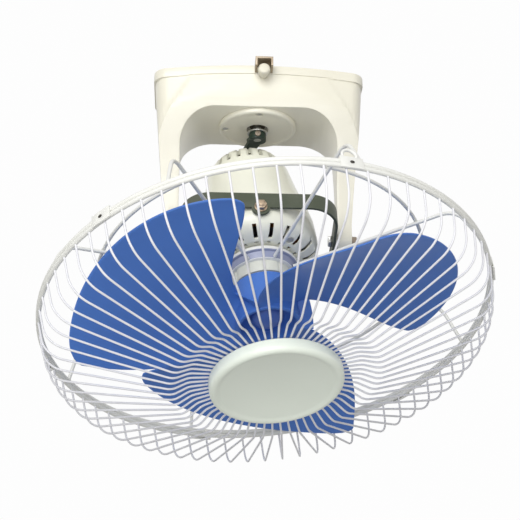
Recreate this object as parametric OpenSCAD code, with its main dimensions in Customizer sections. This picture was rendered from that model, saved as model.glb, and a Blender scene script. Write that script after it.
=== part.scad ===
// Orbital ceiling fan: a canopy with two arms, a gimbal ring, and a caged fan head that a
// slow crank in the canopy leads round, so that the air sweeps the whole room.
// The ceiling is the plane z = 0, the fan hangs below it, and -Y is the front.

/* [Canopy] */
// Width of the canopy at the ceiling
canopy_w = 218; // [210:1:240]
// Front-to-back depth of the canopy at the ceiling
canopy_d = 104; // [100:1:120]
// Corner radius of the canopy seen from below
canopy_corner = 42; // [30:1:46]
// Wall of the moulding
canopy_wall = 3; // [2.5:0.25:4]
// Depth of the closed part of the canopy above the arch
arch_top = 43; // [42:1:50]
// Clear width between the two arms
arch_w = 162; // [158:1:170]
// Corner radius of the arch
arch_corner = 36; // [28:1:42]
// Outer width over the arms at the pivots
arm_span = 190; // [186:1:200]
// Radius of the rounded lower end of an arm
arm_end_r = 12.5; // [10:0.5:13]

/* [Ceiling plate] */
// Plate length
plate_l = 196; // [180:1:200]
// Plate width
plate_w = 70; // [60:1:76]
// Plate thickness
plate_t = 2; // [1.5:0.25:3]
// Distance between the two ceiling screws
ceiling_screw_pitch = 140; // [120:1:160]
// Clearance hole for a ceiling screw
ceiling_screw_hole = 6; // [5:0.5:7]
// Inside diameter of the cable grommet
cable_bore = 16; // [12:0.5:18]
// Distance of the cable grommet from the middle, towards the terminals
cable_x = 40; // [34:1:46]
// Width of the front tongue that carries the knob
tongue_w = 18; // [16:0.5:24]
// How far the tongue stands out in front of the canopy
tongue_out = 19; // [17:0.5:24]
// Distance of the tongue to the right of the middle
tongue_x = 3.5; // [0:0.5:8]

/* [Orbit drive] */
// Centre distance of pinion and output gear
gear_centres = 31.5; // [30:0.5:33]
// Teeth of the output gear
gear_teeth = 32; // [28:1:36]
// Teeth of the pinion
pinion_teeth = 10; // [9:1:12]
// Face width of the gears
gear_face = 6; // [4:0.5:8]
// Crank shaft diameter
crank_shaft_d = 8; // [6:0.5:10]
// Diameter of the round cover in the canopy's ceiling
drive_cover_d = 81; // [76:1:86]
// Height that the round cover stands down from the ceiling
drive_cover_h = 5; // [4:0.5:6]

/* [Gimbal] */
// Drop from the ceiling to the centre of both tilt axes
pivot_drop = 173; // [165:1:185]
// Left-to-right width of the gimbal ring
gimbal_w = 156; // [150:1:158]
// Gap between the strap and the motor casing at the front and rear
gimbal_gap = 1.5; // [1.5:0.25:6]
// Corner radius of the gimbal ring
gimbal_corner = 30; // [24:1:40]
// Height of the gimbal strap
strap_h = 18; // [15:0.5:20]
// How far the middle of the strap lies below the arm pivots
strap_drop = 3; // [0:0.5:3.5]
// How far the front and rear pivots lie below the arm pivots
tilt_drop = 12; // [8:0.5:12.5]
// Thickness of the gimbal strap
strap_t = 2.5; // [2:0.25:3.5]
// Diameter of the two arm pivot bolts
arm_bolt_d = 6; // [5:0.5:8]
// Diameter of the front and rear pivot screws
head_screw_d = 5; // [4:0.5:6]
// Lean of the ring about the left-right axis, as photographed
ring_lean = -16.5; // [-17.4:0.1:17.4]
// Lean of the head about the ring's own front-back axis, as photographed
head_lean = -5.5; // [-17.4:0.1:17.4]

/* [Motor] */
// Largest radius of the motor casing
motor_r = 61; // [58:0.5:63]
// Height of the crown of the rear cover above the pivots
crown_z = 104.5; // [100:0.5:108]
// Wall of the motor covers
cover_wall = 2.5; // [2:0.25:3]
// Cooling slots in each cover
cover_slots = 20; // [12:4:24]
// Motor shaft diameter
shaft_d = 8; // [6:0.5:10]
// Height of the stator stack
stack_h = 28; // [20:1:34]
// Radius that the tip of the tail pin runs on, round the pivots
tail_reach = 112; // [111:0.5:116]

/* [Fan] */
// Radius of the blade tips
blade_r = 191.5; // [170:0.5:193]
// Thickness of a blade
blade_t = 2.4; // [2:0.1:3.5]
// Outer radius of the hub
hub_r = 31.5; // [28:0.5:34]
// Depth of the hub below the pivots, at its rear edge
hub_z = -64.5; // [-66:0.5:-63]
// Length of the hub
hub_h = 44; // [40:0.5:46]

/* [Guard] */
// Radius of the two outer rings
guard_r = 219; // [205:1:225]
// Diameter of the outer ring wire
ring_wire_d = 7; // [6:0.5:8]
// Height of the front outer ring, from the pivots
front_ring_z = -98; // [-102:0.5:-96]
// Radial wires of the front guard
front_wires = 68; // [40:1:72]
// Diameter of a front wire
front_wire_d = 2.6; // [2.2:0.1:3.2]
// Turn of the first front wire
wire_turn = -1.2; // [-2.6:0.1:2.6]
// Radius where the front wires crest before they dip to the badge
crest_r = 99; // [92:1:106]
// Height of that crest, from the pivots
crest_z = -172; // [-178:1:-168]
// Spokes of the rear guard
rear_spokes = 8; // [6:1:12]
// Diameter of a rear spoke
spoke_d = 3.6; // [3:0.1:4.5]
// Radius of the ring halfway out on the rear guard
mid_ring_r = 162.5; // [150:0.5:175]
// Clips that hold the two outer rings together
ring_clips = 6; // [3:1:8]
// Radius of the badge disc
badge_r = 65.5; // [62:0.5:70]
// Radius of the guard lock nut
lock_nut_r = 30.5; // [27:0.5:33]

/* [Hidden] */

fit = 0.3;           // running clearance between pieces that move past each other
bore_fit = 0.05;     // radial clearance of a pin or shaft in its hole
seat = 0.1;          // gap between fixed pieces that lie against each other
eps = 0.01;          // overshoot of a cut

cream = "#f1eedc";
blue = "#2f49b0";

// ---- shared shapes ---------------------------------------------------------------------

// rectangle with true round corners
module round_rect(w, d, r) {
  square([w, d - 2 * r], center = true);
  square([w - 2 * r, d], center = true);
  for (x = [-1, 1], y = [-1, 1]) translate([x * (w / 2 - r), y * (d / 2 - r)]) circle(r, $fn = 64);
}

// round wire of radius wr that follows a path in the XZ plane, as one closed skin
wire_sides = 6;
function unit(v) = v / norm(v);
function wire_tangent(p, i) =
  unit((i < len(p) - 1 ? p[i + 1] : p[i]) - (i > 0 ? p[i - 1] : p[i]));
function wire_skin(p, wr) = [for (i = [0:len(p) - 1], k = [0:wire_sides - 1])
  let (t = wire_tangent(p, i), a = 360 * k / wire_sides + 30)
  [p[i][0] - t[1] * wr * cos(a), wr * sin(a), p[i][1] + t[0] * wr * cos(a)]];
module swept_wire(p, wr) {
  n = wire_sides;
  m = len(p);
  polyhedron(wire_skin(p, wr), concat(
    [[for (k = [0:n - 1]) k]],
    [for (i = [0:m - 2], k = [0:n - 1]) each [
      [i * n + k, (i + 1) * n + k, i * n + (k + 1) % n],
      [i * n + (k + 1) % n, (i + 1) * n + k, (i + 1) * n + (k + 1) % n]]],
    [[for (k = [n - 1:-1:0]) (m - 1) * n + k]]), convexity = 6);
}

// corner q of a bent wire between p and s, bent to radius r in a number of steps
function bend(p, q, s, r, steps) =
  let (u = unit(p - q), v = unit(s - q), half = acos(u * v) / 2,
    c = q + unit(u + v) * r / sin(half), a = q + u * r / tan(half) - c,
    b = q + v * r / tan(half) - c)
  [for (i = [0:steps]) c + r * unit(a * (1 - i / steps) + b * (i / steps))];

module torus(r, tube, sides = 48) {
  rotate_extrude($fn = 180) translate([r, 0]) circle(tube, $fn = sides);
}

module ring(ro, ri, h) {
  difference() {
    cylinder(r = ro, h = h, $fn = 96);
    translate([0, 0, -eps]) cylinder(r = ri, h = h + 2 * eps, $fn = 96);
  }
}

lean_limit = 17.4;   // largest lean of the ring, and of the head in it, either way

// the two leaning frames: gimbal ring and fan head
module in_ring() { translate([0, 0, -pivot_drop]) rotate([ring_lean, 0, 0]) children(); }
module in_head() in_ring() translate([0, 0, -tilt_drop]) rotate([0, head_lean, 0])
  translate([0, 0, tilt_drop]) children();

// distance from the arm pivots' centre of a point of the head, with the head leant
function swing(r, z, lean) = let (d = norm([r, z + tilt_drop]), a = atan2(r, z + tilt_drop) + lean)
  norm([d * sin(a), d * cos(a) - tilt_drop]);

// ---- canopy ----------------------------------------------------------------------------

ceiling_t = canopy_wall;                  // floor of the closed box above the arch
tongue_slot = tongue_w + 1;
arm_hollow = (arm_span - arch_w) / 2 - 2 * canopy_wall;
knob_z = -11;
rim_step = 1.2;
rim_h = 9;
wall_lean = 0.5;                          // extra wall where the front and rear slope
leg_inside = canopy_wall + 2.5;           // from the canopy's rim to the plate's leg and hooks

module canopy_block() {
  translate([0, 0, -pivot_drop - arm_end_r]) linear_extrude(pivot_drop + arm_end_r - rim_h)
    round_rect(canopy_w - 2 * rim_step, canopy_d - 2 * rim_step, canopy_corner - rim_step);
  translate([0, 0, -rim_h - 1]) linear_extrude(rim_h + 1)
    round_rect(canopy_w, canopy_d, canopy_corner);
}

// the block seen from the front: both sides lean in from the rim to the arms' ends
module canopy_front(inset = 0) {
  top = canopy_w / 2 - rim_step - inset;
  low = arm_span / 2 - inset;
  end = -pivot_drop + arm_end_r;
  half = [[top, -rim_h], [low, end], [low, -pivot_drop - arm_end_r - 1]];
  polygon(concat([[top + 2, 1], [top + 2, -rim_h]], half,
    [for (i = [2:-1:0]) [-half[i][0], half[i][1]]], [[-top - 2, -rim_h], [-top - 2, 1]]));
}

// the block seen from the side: deep at the ceiling, it tapers in one soft curve to the arms
side_steps = 20;
function side_curve(t) = let (k = pow(1 - t, 3), l = 3 * t * pow(1 - t, 2), m = 3 * t * t * (1 - t),
  n = pow(t, 3)) [(k + l) * (canopy_d / 2 - rim_step) + (m + n) * arm_end_r,
  -k * rim_h - l * (arch_top + 12) - m * (arch_top + 37) - n * (pivot_drop - 33)];
module canopy_side(inset = 0) {
  half = canopy_d / 2 + 1;
  curve = [for (i = [0:side_steps]) side_curve(i / side_steps) - [inset, 0]];
  polygon(concat([[half - inset, 1], [half - inset, -rim_h]], curve,
    [[arm_end_r - inset, -pivot_drop], [-arm_end_r + inset, -pivot_drop]],
    [for (i = [side_steps:-1:0]) [-curve[i][0], curve[i][1]]],
    [[-half + inset, -rim_h], [-half + inset, 1]]));
  if (inset == 0) translate([0, -pivot_drop]) circle(arm_end_r, $fn = 96);
}

// extrudes a shape seen from the front, or one seen from the side, through the whole canopy
module through_depth() {
  rotate([90, 0, 0]) translate([0, 0, -canopy_d]) linear_extrude(2 * canopy_d) children();
}
module through_width() {
  rotate([90, 0, 90]) translate([0, 0, -canopy_w]) linear_extrude(2 * canopy_w) children();
}

module canopy_arch() {
  hw = arch_w / 2;
  r = arch_corner;
  translate([-hw, -pivot_drop - arm_end_r - 1])
    square([arch_w, pivot_drop + arm_end_r + 1 - arch_top - r]);
  translate([-hw + r, -arch_top - r - eps]) square([arch_w - 2 * r, r + eps]);
  for (x = [-1, 1]) translate([x * (hw - r), -arch_top - r]) circle(r, $fn = 96);
}

module canopy_housing() color(cream) {
  difference() {
    intersection() {
      canopy_block();
      through_width() canopy_side();
      through_depth() canopy_front();
    }
    through_depth() canopy_arch();
    // the hollow over the arch, open to the ceiling
    intersection() {
      translate([0, 0, -arch_top + ceiling_t]) linear_extrude(arch_top)
        round_rect(canopy_w - 2 * canopy_wall, canopy_d - 2 * canopy_wall, canopy_corner - canopy_wall);
      through_width() canopy_side(canopy_wall + wall_lean);
      through_depth() canopy_front(canopy_wall);
    }
    // the arms are hollow from the closed box down to just above the pivots
    for (x = [-1, 1]) translate([x * (arch_w / 2 + arm_span / 2) / 2 - arm_hollow / 2,
      -arm_end_r + canopy_wall, -pivot_drop + arm_end_r + 6])
      cube([arm_hollow, 2 * (arm_end_r - canopy_wall), pivot_drop - arm_end_r - 6 - arch_top + ceiling_t + 1]);
    // hole for the drive, and its three screws
    translate([0, 0, -arch_top - 1]) cylinder(r = case_neck_r + seat, h = ceiling_t + 2, $fn = 96);
    for (a = drive_screw_angles) rotate([0, 0, a]) translate([drive_screw_r, 0, -arch_top - 1])
      cylinder(d = drive_screw_d + 0.4, h = ceiling_t + 2, $fn = 32);
    // tongue slot and knob hole in the front wall
    translate([tongue_x - tongue_slot / 2, -canopy_d / 2 - 1, -plate_t - seat])
      cube([tongue_slot, canopy_wall + 6, plate_t + 1]);
    translate([tongue_x, -canopy_d / 2 + canopy_wall + 3, knob_z]) rotate([90, 0, 0])
      cylinder(d = knob_screw_d + 0.6, h = canopy_wall + 6, $fn = 48);
    // pivot bolt holes
    translate([-arm_span / 2 - 2, 0, -pivot_drop]) rotate([0, 90, 0])
      cylinder(d = arm_bolt_d + 2 * bore_fit, h = arm_span + 4, $fn = 64);
  }
}

// ---- ceiling plate ---------------------------------------------------------------------

grommet_r = cable_bore / 2 + 3;
knob_screw_d = 5;
tongue_lip = 10;
rear_hook_w = 24;

module ceiling_plate() color("#b9b4a6") {
  front = canopy_d / 2 + tongue_out;
  inner_front = canopy_d / 2 - leg_inside;
  difference() {
    union() {
      translate([0, 0, -plate_t]) linear_extrude(plate_t) round_rect(plate_l, plate_w, 30);
      translate([tongue_x - tongue_w / 2, -front, -plate_t])
        cube([tongue_w, front - plate_w / 2 + 1, plate_t]);
      // side cheeks of the tongue, in front of the canopy
      for (x = [-1, 1]) translate([tongue_x + x * (tongue_w - plate_t) / 2 - plate_t / 2, -front, -tongue_lip])
        cube([plate_t, tongue_out - 3, tongue_lip - plate_t + eps]);
      // leg inside the canopy that takes the knob's screw
      translate([tongue_x - tongue_w / 2, -inner_front + seat, knob_z - 7])
        cube([tongue_w, plate_t, -knob_z + 7 - plate_t + eps]);
      // rear hooks behind the canopy wall
      for (x = [-1, 1]) translate([x * 50 - rear_hook_w / 2, inner_front - seat - plate_t, -14])
        cube([rear_hook_w, plate_t, 14 - plate_t + eps]);
      for (x = [-1, 1]) translate([x * 50 - rear_hook_w / 2, plate_w / 2 - 1, -plate_t])
        cube([rear_hook_w, inner_front - seat - plate_w / 2 + 1, plate_t]);
    }
    translate([-cable_x, 0, -plate_t - 1]) cylinder(r = grommet_r, h = plate_t + 2, $fn = 64);
    for (x = [-1, 1]) translate([x * ceiling_screw_pitch / 2, 0, -plate_t - 1])
      cylinder(d = ceiling_screw_hole, h = plate_t + 2, $fn = 48);
    translate([tongue_x, -inner_front + plate_t + 1, knob_z]) rotate([90, 0, 0])
      cylinder(d = knob_screw_d + 2 * bore_fit, h = plate_t + 2, $fn = 48);
  }
}

module cable_grommet() color("#2b2b2b") translate([-cable_x, 0, 0]) {
  lip = 1.6;
  g = grommet_r - seat / 2;
  difference() {
    union() {
      translate([0, 0, -plate_t - seat - lip]) cylinder(r = g + 3, h = lip, $fn = 64);
      translate([0, 0, -plate_t - seat - eps]) cylinder(r = g, h = plate_t + eps, $fn = 64);
    }
    translate([0, 0, -plate_t - lip - 1]) cylinder(d = cable_bore, h = plate_t + lip + 2, $fn = 64);
  }
}

knob_d = 13;
knob_l = 15;
module canopy_thumbscrew() color(cream) {
  start = canopy_d / 2 + seat;
  translate([tongue_x, 0, knob_z]) rotate([90, 0, 0]) {
    // head: a cone with a domed face
    difference() {
      translate([0, 0, start]) rotate_extrude($fn = 96) polygon(concat(
        [[0, 0], [knob_d / 2 - 2.4, 0], [knob_d / 2, knob_l - 4]],
        [for (a = [0:15:90]) [knob_d / 2 - 2.5 + 2.5 * cos(a), knob_l - 3.5 + 3.5 * sin(a)]],
        [[0, knob_l]]));
      for (a = [0:30:330]) rotate([0, 0, a]) translate([knob_d / 2 + 0.7, 0, start + 4])
        cylinder(r = 1.2, h = knob_l, $fn = 16);
    }
    translate([0, 0, start - canopy_wall - 6]) cylinder(d = knob_screw_d, h = canopy_wall + 6 + eps,
      $fn = 48);
  }
}

// ---- what the closed canopy holds ------------------------------------------------------

module terminal_block() color("#e9e6da") {
  w = 12;
  l = 40;
  h = 13;
  translate([-72, -18, -plate_t - seat - h]) difference() {
    cube([w, l, h]);
    for (i = [0:3]) {
      translate([w / 2, 5 + i * 10, -1]) cylinder(d = 4, h = 6, $fn = 32);
      translate([-1, 5 + i * 10, 8]) rotate([0, 90, 0]) cylinder(d = 3.4, h = w + 2, $fn = 32);
    }
    translate([w / 2, l / 2, -1]) cylinder(d = 2.6, h = h + 2, $fn = 32);
  }
}

module fan_capacitor() color("#d8d5cc") {
  w = 18;
  l = 38;
  h = 26;
  translate([canopy_w / 2 - 45, -l / 2 + 2, -arch_top + ceiling_t + seat]) {
    linear_extrude(h) translate([w / 2, l / 2]) round_rect(w, l, 3);
    for (y = [-6, 6]) translate([w / 2, l / 2 + y, h - eps]) cylinder(d = 3, h = 4, $fn = 32);
  }
}

// ---- orbit drive -----------------------------------------------------------------------

case_neck_r = 22;                 // neck of the gear case that passes the canopy's ceiling
case_r = 30;                      // big bowl over the output gear
case_small_r = 15;                // bowl over the pinion
case_t = 2.5;
case_h = 12;
case_floor = -arch_top + ceiling_t + seat;
drive_screw_d = 4;
drive_screw_r = 34;
drive_screw_angles = [90, 180, 270];
gear_z = case_floor + case_t + fit;
gear_module = 2 * gear_centres / (gear_teeth + pinion_teeth);

// straight-flanked teeth with generous backlash, turned so that one gap meets one tooth
module spur_gear(teeth, h, turn) {
  rp = gear_module * teeth / 2;
  tip = rp + 0.8 * gear_module;
  root = rp - 1.1 * gear_module;
  step = 360 / teeth;
  linear_extrude(h) rotate(turn) polygon([for (i = [0:teeth - 1], q = [
    [root, -0.30], [rp, -0.2], [tip, -0.09], [tip, 0.09], [rp, 0.2], [root, 0.30]])
    q[0] * [cos((i + q[1]) * step), sin((i + q[1]) * step)]]);
}

module gearbox_case() color("#cfcabb") {
  difference() {
    union() {
      translate([0, 0, case_floor]) linear_extrude(case_h) {
        circle(case_r, $fn = 96);
        translate([gear_centres, 0]) circle(case_small_r, $fn = 96);
        translate([0, -case_small_r]) square([gear_centres, 2 * case_small_r]);
        for (a = drive_screw_angles) rotate(a) translate([drive_screw_r - 2, 0])
          circle(5.5, $fn = 48);
      }
      // neck down through the ceiling, it holds the bush
      translate([0, 0, -arch_top]) cylinder(r = case_neck_r, h = case_floor + arch_top + eps, $fn = 96);
    }
    // gear chamber, open above and closed by the motor's flange
    translate([0, 0, case_floor + case_t]) linear_extrude(case_h) {
      circle(case_r - case_t, $fn = 96);
      translate([gear_centres, 0]) circle(case_small_r - case_t, $fn = 96);
      translate([0, -case_small_r + case_t]) square([gear_centres, 2 * (case_small_r - case_t)]);
    }
    translate([0, 0, -arch_top - 1]) cylinder(r = crank_bush_r + bore_fit, h = 12, $fn = 64);
    for (a = drive_screw_angles) rotate([0, 0, a]) translate([drive_screw_r, 0, case_floor - 1])
      cylinder(d = drive_screw_d - 0.6 + 2 * bore_fit, h = case_h + 2, $fn = 32);
  }
}

module gearbox_screws() color("#c9c9c4") {
  // up through the round cover and the ceiling into the case
  for (a = drive_screw_angles) rotate([0, 0, a]) translate([drive_screw_r, 0, -arch_top - 1.6]) {
    cylinder(d = drive_screw_d - 0.6, h = 1.6 + ceiling_t + case_h - 2, $fn = 32);
    difference() {
      translate([0, 0, -1.8]) cylinder(d = 6.6, h = 1.8 + eps, $fn = 32);
      translate([-0.5, -2.4, -1.9]) cube([1, 4.8, 1]);
    }
  }
}

module gearbox_cover() color("#e6e2d0") {
  r = drive_cover_d / 2;
  h = drive_cover_h;
  top = -arch_top - seat;
  difference() {
    translate([0, 0, top - h]) rotate_extrude($fn = 128) polygon(concat(
      [[cover_hole_r, 0.8], [r - 5, 0.8], [r - 4, 0]],
      [for (a = [-90:15:0]) [r - 2.5 + 2.5 * cos(a), 2.5 + 2.5 * sin(a)]],
      [[r, h], [cover_hole_r, h]]));
    for (a = drive_screw_angles) rotate([0, 0, a]) translate([drive_screw_r, 0, top - h - 1]) {
      cylinder(d = drive_screw_d + 0.4, h = h + 2, $fn = 32);
      cylinder(d = 7.4, h = h - 0.4, $fn = 32);
    }
  }
}

cover_hole_r = 11.5;
crank_bush_r = 8;

module orbit_motor() color("#b8b6ae") {
  can_d = 50;
  can_h = 18;
  base = case_floor + case_h + seat;
  difference() {
    union() {
      // flange that closes the gear chamber
      translate([0, 0, base]) linear_extrude(1.5) {
        circle(case_r, $fn = 96);
        translate([gear_centres, 0]) circle(case_small_r, $fn = 96);
        translate([0, -case_small_r]) square([gear_centres, 2 * case_small_r]);
      }
      translate([gear_centres - 8, 0, base + 1.5 - eps]) cylinder(d = can_d, h = can_h, $fn = 96);
    }
    translate([gear_centres, 0, base - 1]) cylinder(r = pinion_shaft_r + fit, h = 10, $fn = 32);
  }
}

pinion_shaft_r = 1.5;
module orbit_pinion() color("#f2f0ea") translate([gear_centres, 0, gear_z]) {
  spur_gear(pinion_teeth, gear_face, 180 + 180 / pinion_teeth);
  translate([0, 0, gear_face - 1]) cylinder(r = pinion_shaft_r, h = 11, $fn = 32);
}

module crank_gear() color("#f2f0ea") translate([0, 0, gear_z]) difference() {
  spur_gear(gear_teeth, gear_face, 0);
  translate([0, 0, -1]) cylinder(d = crank_shaft_d + 2 * bore_fit, h = gear_face + 2, $fn = 64);
}

module crank_bush() color("#a9853f") {
  difference() {
    translate([0, 0, -arch_top - 1]) cylinder(r = crank_bush_r, h = ceiling_t + 2.5, $fn = 64);
    translate([0, 0, -arch_top - 2]) cylinder(d = crank_shaft_d + 2 * bore_fit, h = 10, $fn = 64);
  }
}

// The crank arm ends over the tail pin. Its underside is a sphere round the arm pivots, so the
// pin's tip keeps a small clearance wherever the crank and the head stand.
tail_d = 9;
arm_under = swing(tail_d / 2, tail_reach, lean_limit) + fit;
arm_top_z = -arch_top - drive_cover_h - 4.5;
arm_w = 12;
crank_screw_z = arm_top_z - 3.9;
crank_screw_d = 3;
tail_swing = tail_reach + tilt_drop;
tail_at = [tail_swing * sin(head_lean), (tilt_drop - tail_swing * cos(head_lean)) * sin(ring_lean)];
orbit_angle = atan2(tail_at[1], tail_at[0]);
orbit_r = norm(tail_at);

module crank_shaft() color("#d5d5d2") {
  top = gear_z + gear_face + 1;
  low = arm_top_z - 7;
  translate([0, 0, low]) cylinder(d = crank_shaft_d, h = top - low, $fn = 64);
}

module crank_arm() color("#1d2420") {
  difference() {
    rotate([0, 0, orbit_angle]) difference() {
      union() {
        translate([0, 0, arm_top_z - 14]) linear_extrude(14 - seat) {
          circle(9, $fn = 64);
          translate([0, -arm_w / 2]) square([orbit_r, arm_w]);
          translate([orbit_r, 0]) circle(arm_w / 2, $fn = 64);
        }
      }
      // the outer half of the arm slopes down towards the tail
      translate([14, -20, arm_top_z - 4]) rotate([0, 14, 0]) cube([40, 40, 20]);
    }
    translate([0, 0, -pivot_drop]) sphere(arm_under, $fn = 180);
    translate([0, 0, arm_top_z - 14]) cylinder(d = crank_shaft_d + 2 * bore_fit, h = 16, $fn = 64);
    translate([0, 0, crank_screw_z]) rotate([90, 0, 0])
      cylinder(d = crank_screw_d + 2 * bore_fit, h = 12, $fn = 32);
  }
}

// screw that clamps the arm to its shaft
module crank_screw() color("#8a8c88") translate([0, 0, crank_screw_z]) rotate([90, 0, 0]) {
  translate([0, 0, crank_shaft_d / 2 + seat]) cylinder(d = crank_screw_d, h = 6, $fn = 32);
  difference() {
    translate([0, 0, 9 + seat]) cylinder(d = 6, h = 2, $fn = 48);
    translate([-0.5, -4, 10.4]) cube([1, 8, 2]);
  }
}

module crank_washer() color("#d9d6cc") {
  translate([0, 0, arm_top_z + seat]) ring(10.5, crank_shaft_d / 2 + bore_fit, 1.6);
}

// ---- gimbal ----------------------------------------------------------------------------

gimbal_d = 2 * (motor_r + gimbal_gap + strap_t);
washer_gap = (arch_w - gimbal_w) / 2;
washer_d = 16;
ear_r = 9;                                // ears of the strap round the front and rear pivots
boss_proud = 0.2;                         // flat faces of the casing at those pivots
boss_face = motor_r + boss_proud;
boss_d = 14;
tilt_washer_t = gimbal_gap - boss_proud - fit - seat;

module on_tilt_axis(from) {
  for (s = [-1, 1]) translate([0, 0, -tilt_drop]) rotate([-90 * s, 0, 0]) translate([0, 0, from]) children();
}

module arm_pivot_bolts() color("#8d8f8e") {
  inner = gimbal_w / 2 - strap_t - seat;
  for (s = [-1, 1]) translate([0, 0, -pivot_drop]) rotate([0, 90 * s, 0]) {
    translate([0, 0, inner - 3.5]) cylinder(d = 12, h = 3.5, $fn = 6);
    translate([0, 0, inner - eps]) cylinder(d = arm_bolt_d, h = arm_span / 2 + 8 - inner, $fn = 64);
  }
}

module arm_pivot_nuts() color("#b08a4c") {
  for (s = [-1, 1]) translate([0, 0, -pivot_drop]) rotate([0, 90 * s, 0])
    translate([0, 0, arm_span / 2 + seat]) difference() {
      union() {
        cylinder(d = 13, h = 1.2, $fn = 64);
        translate([0, 0, 1.2 - eps]) cylinder(d = 11.5, h = 4.6, $fn = 6);
      }
      translate([0, 0, -1]) cylinder(d = arm_bolt_d + 2 * bore_fit, h = 10, $fn = 64);
    }
}

module arm_pivot_washers() color("#ecebe4") {
  for (s = [-1, 1]) translate([0, 0, -pivot_drop]) rotate([0, 90 * s, 0])
    translate([0, 0, gimbal_w / 2 + fit]) difference() {
      cylinder(d = washer_d, h = washer_gap - fit - seat, $fn = 64);
      translate([0, 0, -1]) cylinder(d = arm_bolt_d + 2 * bore_fit, h = washer_gap + 2, $fn = 64);
    }
}

module gimbal_ring() color("#1f2a20") in_ring() difference() {
  union() {
    translate([0, 0, -strap_drop - strap_h / 2]) linear_extrude(strap_h) difference() {
      round_rect(gimbal_w, gimbal_d, gimbal_corner);
      round_rect(gimbal_w - 2 * strap_t, gimbal_d - 2 * strap_t, gimbal_corner - strap_t);
    }
    on_tilt_axis(gimbal_d / 2 - strap_t) cylinder(r = ear_r, h = strap_t, $fn = 96);
  }
  rotate([0, 90, 0]) cylinder(d = arm_bolt_d + 2 * bore_fit, h = gimbal_w + 2, center = true, $fn = 64);
  on_tilt_axis(gimbal_d / 2 - strap_t - 1) cylinder(d = head_screw_d + 2 * bore_fit, h = strap_t + 2,
    $fn = 64);
}

module head_pivot_screws() color("#b5763c") in_ring() on_tilt_axis(0) {
  // stud, washer and cap nut
  outer = gimbal_d / 2 + seat;
  translate([0, 0, boss_face - 8]) cylinder(d = head_screw_d, h = outer - boss_face + 8 + eps, $fn = 64);
  translate([0, 0, outer]) cylinder(d = 12.5, h = 1.2, $fn = 64);
  translate([0, 0, outer + 1.2 - eps]) cylinder(d = 11.5, h = 4, $fn = 6);
  translate([0, 0, outer + 5.2 - 2 * eps]) cylinder(d1 = 9, d2 = 5, h = 2, $fn = 48);
}

module head_pivot_washers() color("#d8d2b8") in_ring() on_tilt_axis(boss_face + fit) difference() {
  cylinder(d = 12, h = tilt_washer_t, $fn = 64);
  translate([0, 0, -1]) cylinder(d = head_screw_d + 2 * bore_fit, h = gimbal_gap + 2, $fn = 64);
}

// ---- motor -----------------------------------------------------------------------------

split_z = -2;                     // joint between the two covers, hidden by the strap
front_face_z = -34;               // flat front of the front cover
neck_r = 18;                      // threaded neck that carries the rear guard
neck_end = -62.4;
bearing_r = 9;
stack_z = 2;
stack_r = 50;
cover_screw_r = 46;
cover_screw_angles = [37, 127, 217, 307];
screw_seat_z = -30.4;             // floor of the countersinks for the long casing screws
cover_screw_d = 4;
slot_turn = cover_screw_angles[0] - 180 / cover_slots;   // the screws stand between the slots

// outline of the casing from the crown down to the split, as fractions of its own sizes
function rear_outline(inset) = let (c = crown_z - inset, m = motor_r - inset) [
  [0, c], [20 - inset / 2, c - 1], [29 - inset, c - 4.2], [36 - inset, c - 10], [41 - inset, c - 18],
  [44 - inset, c - 27], [46.5 - inset, c - 40], [m - 10.5, 0.44 * crown_z], [m - 4.5, 0.22 * crown_z],
  [m - 1, 0.06 * crown_z], [m - 0.5, split_z]];
function front_outline(inset) = let (m = motor_r - inset, f = front_face_z + inset) [
  [m - 0.5, split_z - seat], [m, -14], [m - 1, -20], [m - 4.5, -26.5], [m - 11, -31.5],
  [m - 20, front_face_z + inset], [0, f]];

module slot_row(n, r0, r1, w, z0, z1, turn = 0) {
  for (i = [0:n - 1]) rotate([0, 0, turn + i * 360 / n]) translate([r0, -w / 2, z0])
    cube([r1 - r0, w, z1 - z0]);
}

module motor_rear_cover() color(cream) in_head() {
  difference() {
    union() {
      difference() {
        rotate_extrude($fn = 128) polygon(concat(rear_outline(0), [[0, split_z]]));
        rotate_extrude($fn = 128) polygon(concat(rear_outline(cover_wall), [[0, split_z - 1]]));
        slot_row(cover_slots, 27, 40.5, 3.2, crown_z - 16, crown_z);
      }
      // shoulder that stops the stator, and the bearing housing under the crown
      intersection() {
        translate([0, 0, stack_z + stack_h + seat]) ring(motor_r, stack_r - 2.5, 3);
        rotate_extrude($fn = 128) polygon(concat(rear_outline(cover_wall / 2), [[0, split_z]]));
      }
      translate([0, 0, crown_z - 24]) ring(bearing_r + 3, bearing_r + bore_fit, 22.5);
      translate([0, 0, crown_z - 10]) cylinder(r = bearing_r + 3, h = 8.5, $fn = 96);
    }
    for (a = cover_screw_angles) rotate([0, 0, a]) translate([cover_screw_r, 0, stack_z + stack_h - 1])
      cylinder(d = cover_screw_d + 2 * bore_fit, h = 8, $fn = 32);
  }
}

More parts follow.
